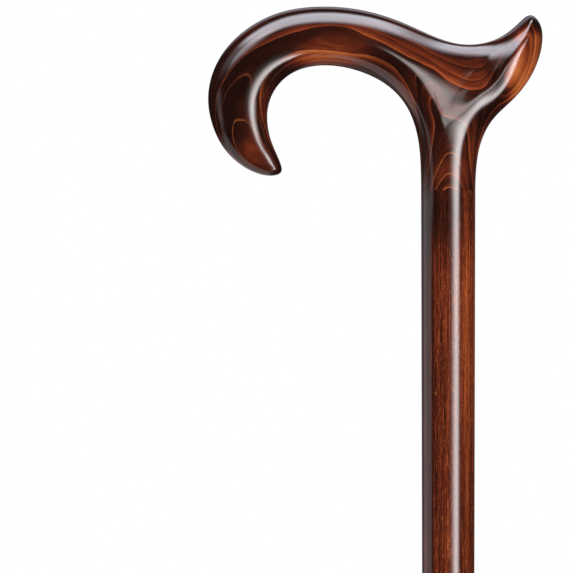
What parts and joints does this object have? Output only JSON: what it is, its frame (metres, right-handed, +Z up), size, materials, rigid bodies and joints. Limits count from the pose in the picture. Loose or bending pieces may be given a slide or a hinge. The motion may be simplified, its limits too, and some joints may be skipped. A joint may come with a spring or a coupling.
{
  "type": "walking cane",
  "caption": "Walking cane with a carved derby handle, doweled flush onto a tapered hardwood shaft, and a rubber ferrule that pulls off the lower end.",
  "frame": {"origin": "centre of the ferrule's sole, on the floor and on the shaft's axis", "axes": "+Z up along the shaft, -X towards the handle's hook, +X towards its tail, the handle's flat side views along Y"},
  "size_m": [0.125, 0.0304, 0.915],
  "materials": {
    "handle_wood": "dark stained beech under clear gloss lacquer",
    "shaft_wood": "stained beech with straight grain under clear gloss lacquer",
    "dowel_wood": "bare beech",
    "ferrule_rubber": "matt black moulded rubber",
    "washer_steel": "zinc plated"
  },
  "bodies": {
    "cane": {"derby_handle": "handle_wood", "shaft": "shaft_wood", "joint_dowel": "dowel_wood"},
    "tip": {"ferrule": "ferrule_rubber", "ferrule_washer": "washer_steel"}
  },
  "joints": [
    {"name": "ferrule_pull_off", "type": "slide", "parent": "cane", "child": "tip", "axis": [0, 0, -1], "range_m": [0, 0.045]}
  ]
}
